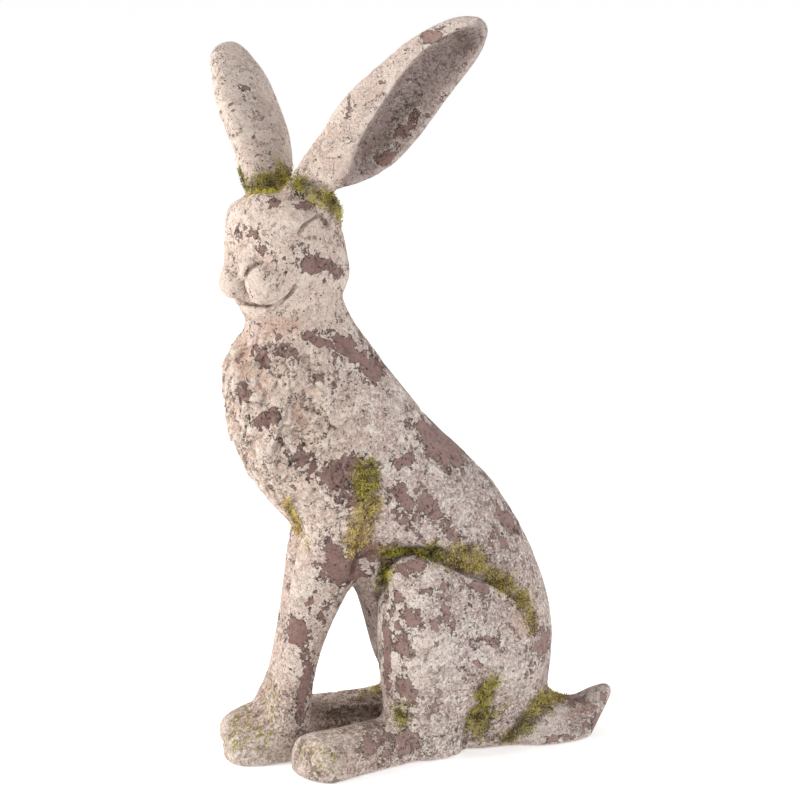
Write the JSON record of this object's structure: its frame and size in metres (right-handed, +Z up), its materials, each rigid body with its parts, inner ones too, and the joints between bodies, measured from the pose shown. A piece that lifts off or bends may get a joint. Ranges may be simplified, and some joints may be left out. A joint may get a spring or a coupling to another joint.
{
  "type": "animal_figurine",
  "caption": "Seated resin hare figurine for the garden, about 0.56 m tall, upright, with tall swept-back ears, closed eyes, a heavy chest and a weathered, flaking, mossy coat.",
  "frame": {"origin": "on the ground plane under the middle of the figure's bounding box", "axes": "+Z up, -Y the way the body faces, +X the hare's left side, which its head turns towards"},
  "size_m": [0.2188, 0.3048, 0.5553],
  "materials": {
    "resin": "weathered stone-look coat in pinkish beige, flaking off a mauve-brown body, with moss in the creases"
  },
  "bodies": {
    "root": {"rabbit_figure": "resin"}
  },
  "joints": []
}
